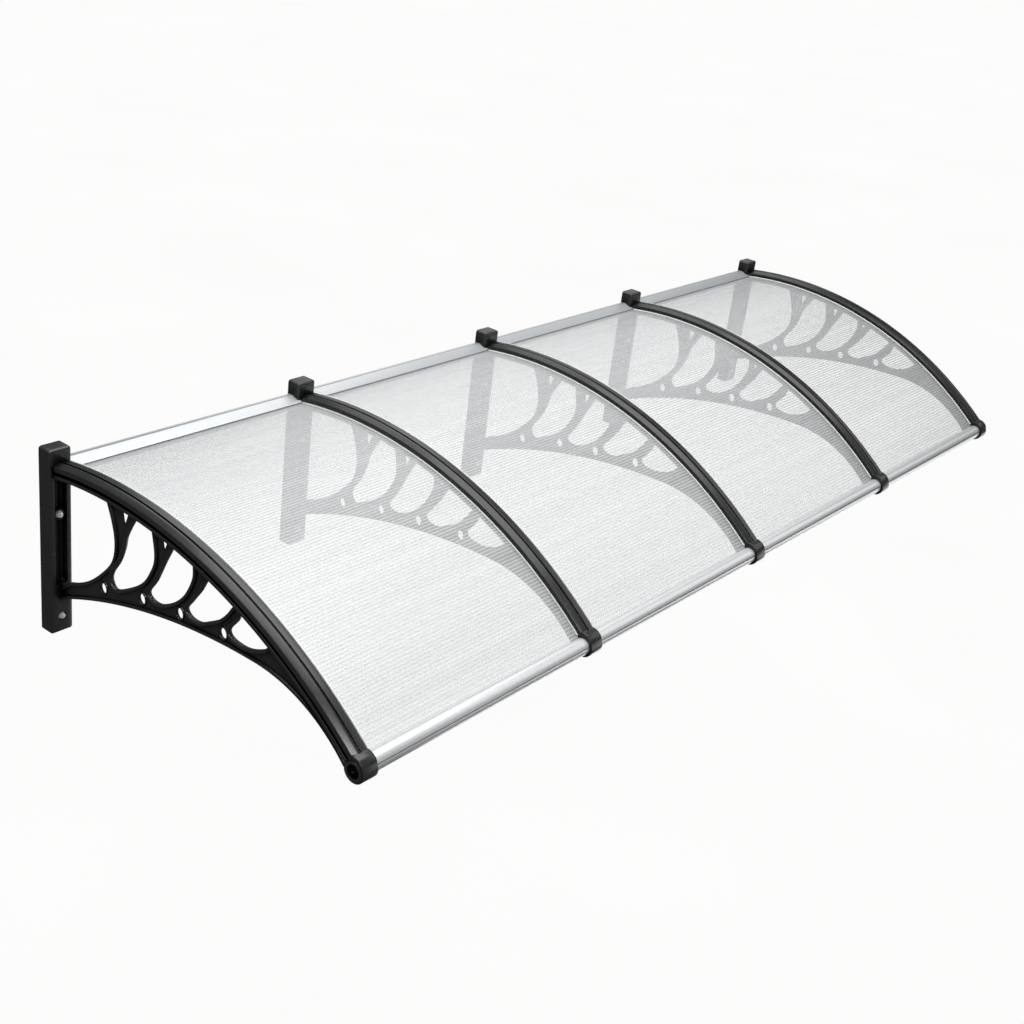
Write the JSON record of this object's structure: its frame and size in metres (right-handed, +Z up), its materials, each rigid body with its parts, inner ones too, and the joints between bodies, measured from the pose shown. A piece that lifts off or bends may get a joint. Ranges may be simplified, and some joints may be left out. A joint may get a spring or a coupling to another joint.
{
  "type": "polycarbonate door canopy",
  "caption": "Arched clear twin-wall canopy for over a door, carried by black moulded brackets with scroll openings, with a front bar and a wall rail.",
  "frame": {"origin": "on the wall face of the middle bracket, midway between its two wall bolts", "axes": "+X along the wall, to the right as seen from the front; +Y into the wall, so the canopy reaches out towards -Y; +Z up"},
  "size_m": [2.978, 1.013, 0.457],
  "materials": {
    "black_plastic": "fine satin texture, moulded",
    "polycarbonate": "clear, smooth, with flutes inside",
    "aluminium": "satin silver, extruded",
    "seal_rubber": "matt",
    "zinc_steel": "bright zinc plated"
  },
  "bodies": {
    "root": {"bracket_1": "black_plastic", "bracket_2": "black_plastic", "bracket_3": "black_plastic", "bracket_4": "black_plastic", "bracket_5": "black_plastic", "end_plug_left": "black_plastic", "end_plug_right": "black_plastic", "sheet_1": "polycarbonate", "sheet_2": "polycarbonate", "sheet_3": "polycarbonate", "sheet_4": "polycarbonate", "front_bar_1": "aluminium", "front_bar_2": "aluminium", "front_bar_3": "aluminium", "front_bar_4": "aluminium", "wall_rail_1": "aluminium", "wall_rail_2": "aluminium", "wall_rail_3": "aluminium", "wall_rail_4": "aluminium", "wall_seal_1": "seal_rubber", "wall_seal_2": "seal_rubber", "wall_seal_3": "seal_rubber", "wall_seal_4": "seal_rubber", "lower_washer_1": "zinc_steel", "lower_bolt_1": "zinc_steel", "lower_washer_2": "zinc_steel", "lower_bolt_2": "zinc_steel", "lower_washer_3": "zinc_steel", "lower_bolt_3": "zinc_steel", "lower_washer_4": "zinc_steel", "lower_bolt_4": "zinc_steel", "lower_washer_5": "zinc_steel", "lower_bolt_5": "zinc_steel", "upper_washer_1": "zinc_steel", "upper_bolt_1": "zinc_steel", "upper_washer_2": "zinc_steel", "upper_bolt_2": "zinc_steel", "upper_washer_3": "zinc_steel", "upper_bolt_3": "zinc_steel", "upper_washer_4": "zinc_steel", "upper_bolt_4": "zinc_steel", "upper_washer_5": "zinc_steel", "upper_bolt_5": "zinc_steel", "bar_screw_1": "zinc_steel", "bar_screw_2": "zinc_steel", "bar_screw_3": "zinc_steel", "bar_screw_4": "zinc_steel", "bar_screw_5": "zinc_steel", "bar_screw_6": "zinc_steel", "bar_screw_7": "zinc_steel", "bar_screw_8": "zinc_steel"}
  },
  "joints": []
}
